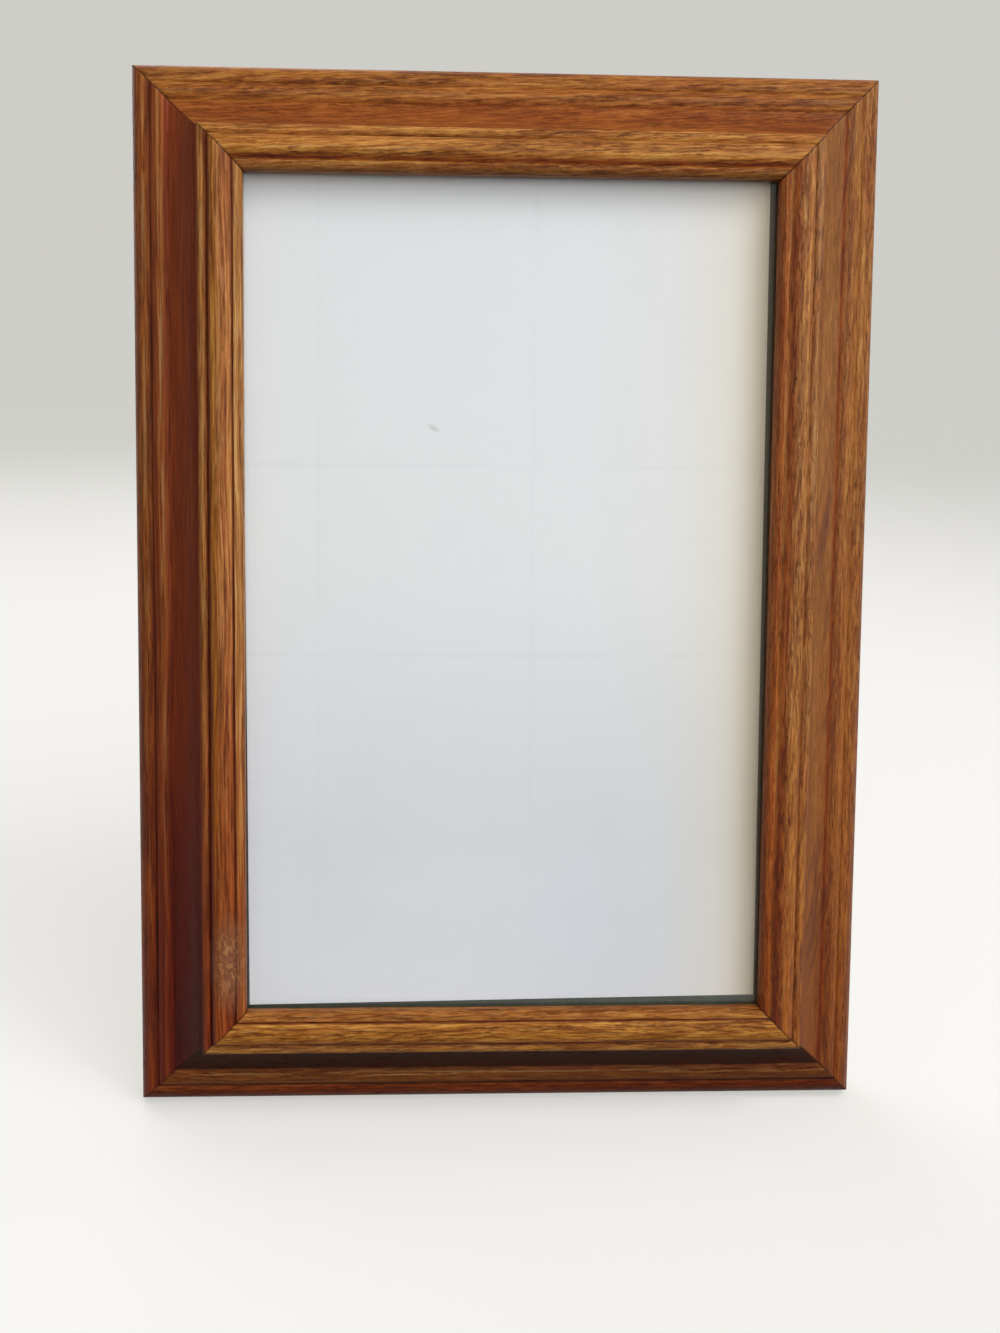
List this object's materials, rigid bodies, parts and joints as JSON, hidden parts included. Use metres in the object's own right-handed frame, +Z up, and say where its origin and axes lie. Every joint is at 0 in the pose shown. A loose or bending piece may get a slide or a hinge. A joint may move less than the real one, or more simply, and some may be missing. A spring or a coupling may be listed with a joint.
{
  "type": "picture frame",
  "caption": "Moulded wooden table picture frame with mitred corners, glazed rebate, backing held by turn buttons, a hinged easel strut and a hanging ring.",
  "frame": {"origin": "on the table, under the middle of the box of the standing frame with its strut open", "axes": "+Z up, -Y out of the picture's front towards the viewer, +X to the viewer's right"},
  "size_m": [0.128, 0.054, 0.1782],
  "materials": {
    "oak": "satin orange-brown stain over open grain",
    "hardboard": "smooth brown hardboard",
    "clear_glass": "clear float glass",
    "white_paper": "matt white paper, lightly creased",
    "green_card": "matt dark green card",
    "brown_board": "plain brown packing board",
    "brassed_steel": "thin brass plating, slightly dulled",
    "zinc_steel": "zinc plated",
    "nail_steel": "plain steel strip"
  },
  "bodies": {
    "frame": {"bottom_rail": "oak", "top_rail": "oak", "left_rail": "oak", "right_rail": "oak", "corner_nails": "nail_steel", "glass_pane": "clear_glass", "picture_sheet": "white_paper", "backing_card": "green_card", "filler_pad": "brown_board", "back_panel": "hardboard", "hinge_bracket": "brassed_steel", "bracket_rivets": "brassed_steel", "hinge_pin": "zinc_steel", "hanger_strap": "brassed_steel", "hanger_rivet": "brassed_steel", "button_screws": "zinc_steel"},
    "strut": {"strut": "hardboard", "strut_leaf": "brassed_steel", "strut_rivets": "brassed_steel"},
    "ring": {"hanging_ring": "brassed_steel"},
    "turn_button_left_low": {"turn_button_left_low": "brassed_steel"},
    "turn_button_left_high": {"turn_button_left_high": "brassed_steel"},
    "turn_button_right_low": {"turn_button_right_low": "brassed_steel"},
    "turn_button_right_high": {"turn_button_right_high": "brassed_steel"},
    "turn_button_top": {"turn_button_top": "brassed_steel"},
    "turn_button_bottom": {"turn_button_bottom": "brassed_steel"}
  },
  "joints": [
    {"name": "strut_fold", "type": "hinge", "parent": "frame", "child": "strut", "pos_m": [0, 0.01349, 0.10928], "axis": [1, 0, 0], "range_deg": [-18, 0]},
    {"name": "ring_swing", "type": "hinge", "parent": "frame", "child": "ring", "pos_m": [0, 0.0149, 0.14356], "axis": [1, 0, 0], "range_deg": [-10, 170]},
    {"name": "turn_left_low", "type": "hinge", "parent": "frame", "child": "turn_button_left_low", "pos_m": [-0.0578, -0.00326, 0.0442], "axis": [0, 0.9848, -0.1736], "range_deg": [-90, 90]},
    {"name": "turn_left_high", "type": "hinge", "parent": "frame", "child": "turn_button_left_high", "pos_m": [-0.0578, 0.01236, 0.13284], "axis": [0, 0.9848, -0.1736], "range_deg": [-90, 90]},
    {"name": "turn_right_low", "type": "hinge", "parent": "frame", "child": "turn_button_right_low", "pos_m": [0.0578, -0.00326, 0.0442], "axis": [0, 0.9848, -0.1736], "range_deg": [-90, 90]},
    {"name": "turn_right_high", "type": "hinge", "parent": "frame", "child": "turn_button_right_high", "pos_m": [0.0578, 0.01236, 0.13284], "axis": [0, 0.9848, -0.1736], "range_deg": [-90, 90]},
    {"name": "turn_top", "type": "hinge", "parent": "frame", "child": "turn_button_top", "pos_m": [0, 0.0191, 0.17105], "axis": [0, 0.9848, -0.1736], "range_deg": [-90, 90]},
    {"name": "turn_bottom", "type": "hinge", "parent": "frame", "child": "turn_button_bottom", "pos_m": [0.034, -0.01, 0.00599], "axis": [0, 0.9848, -0.1736], "range_deg": [-90, 90]}
  ]
}
